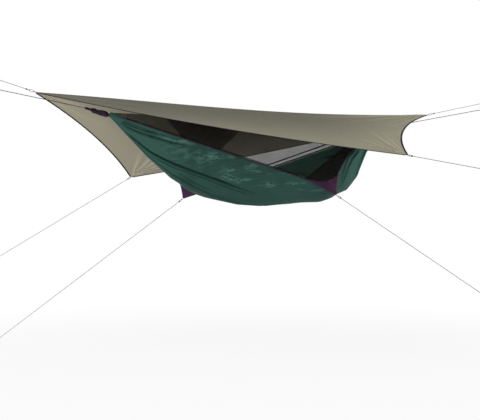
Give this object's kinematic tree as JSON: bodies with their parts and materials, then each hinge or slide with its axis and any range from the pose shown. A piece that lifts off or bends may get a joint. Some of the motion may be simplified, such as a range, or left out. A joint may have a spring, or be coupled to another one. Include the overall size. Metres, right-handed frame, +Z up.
{
  "type": "hammock tent",
  "caption": "Asymmetric camping hammock with a zipped bug net, gear pocket, tree slings and pegged guy lines, hung under a diamond-shaped rain tarp.",
  "frame": {"origin": "middle of the inner face of the left sling, where it bears on the tree", "axes": "+X from the left tree towards the right one, +Y away from the zipped side, +Z up"},
  "size_m": [5.59, 4.7291, 2.566],
  "materials": {
    "green_fabric": "thin ripstop nylon, satin",
    "olive_tarp": "coated tarp cloth, satin",
    "black_net": "fine mesh, matte",
    "purple_fabric": "woven nylon, satin",
    "purple_tape": "woven tape, matte",
    "black_webbing": "woven webbing, matte",
    "grey_green_rope": "braided rope, matte",
    "grey_line": "braided line, matte",
    "black_cord": "braided cord, matte",
    "grey_metal": "plated zinc, satin",
    "clear_plastic": "clear moulded plastic"
  },
  "bodies": {
    "root": {"tarp_canopy": "olive_tarp", "tarp_near_long_binding": "purple_tape", "tarp_near_short_binding": "purple_tape", "tarp_far_long_binding": "purple_tape", "tarp_far_short_binding": "purple_tape", "left_ridge_loop": "black_cord", "right_ridge_loop": "black_cord", "near_corner_loop": "black_cord", "far_corner_loop": "black_cord", "left_tarp_clip": "clear_plastic", "right_tarp_clip": "clear_plastic", "left_tarp_line": "grey_line", "left_tarp_line_tie": "grey_line", "left_tarp_line_end": "grey_line", "right_tarp_line": "grey_line", "right_tarp_line_tie": "grey_line", "right_tarp_line_end": "grey_line", "near_tarp_guy": "grey_line", "near_tarp_guy_tie": "grey_line", "near_tarp_guy_end": "grey_line", "far_tarp_guy": "grey_line", "far_tarp_guy_tie": "grey_line", "far_tarp_guy_end": "grey_line", "left_tree_sling": "black_webbing", "right_tree_sling": "black_webbing"},
    "hammock": {"hammock_body": "green_fabric", "far_net": "black_net", "near_net_gusset": "black_net", "ridgeline_cord": "black_cord", "left_end_wrap": "purple_fabric", "right_end_wrap": "purple_fabric", "left_suspension_rope": "grey_green_rope", "left_suspension_rope_tie": "grey_green_rope", "right_suspension_rope": "grey_green_rope", "right_suspension_rope_tie": "grey_green_rope", "near_pull_patch": "purple_fabric", "far_pull_patch": "purple_fabric", "near_pull_loop": "black_cord", "far_pull_loop": "black_cord", "near_hammock_guy": "grey_line", "near_hammock_guy_tie": "grey_line", "near_hammock_guy_end": "grey_line", "far_hammock_guy": "grey_line", "far_hammock_guy_tie": "grey_line", "far_hammock_guy_end": "grey_line", "rim_zip_tape": "purple_tape", "near_short_binding": "purple_tape", "far_short_binding": "purple_tape", "far_long_binding": "purple_tape"},
    "net_door": {"near_net_door": "black_net", "door_zip_tape": "purple_tape"},
    "zip_slider": {"zip_slider": "grey_metal"},
    "zip_pull": {"zip_pull": "grey_metal"},
    "gear_pocket": {"gear_pocket": "black_net", "left_pocket_hanger": "black_cord", "right_pocket_hanger": "black_cord"}
  },
  "joints": [
    {"name": "hammock_sway", "type": "hinge", "parent": "root", "child": "hammock", "pos_m": [0.3, 0, 0], "axis": [0.9998, 0, 0.0177], "range_deg": [-8, 8]},
    {"name": "net_door_swing", "type": "hinge", "parent": "hammock", "child": "net_door", "pos_m": [2.705, 0, -0.166], "axis": [-1, 0, 0], "range_deg": [0, 25]},
    {"name": "zip_run", "type": "slide", "parent": "hammock", "child": "zip_slider", "axis": [0.9254, -0.2204, -0.3082], "range_m": [0, 1.626]},
    {"name": "zip_pull_lift", "type": "hinge", "parent": "zip_slider", "child": "zip_pull", "pos_m": [1.47252, -0.03625, -0.2093], "axis": [0.3789, 0.5383, 0.7528], "range_deg": [0, 150]},
    {"name": "pocket_run", "type": "slide", "parent": "hammock", "child": "gear_pocket", "axis": [1, 0, 0], "range_m": [-0.08, 0.08]}
  ]
}
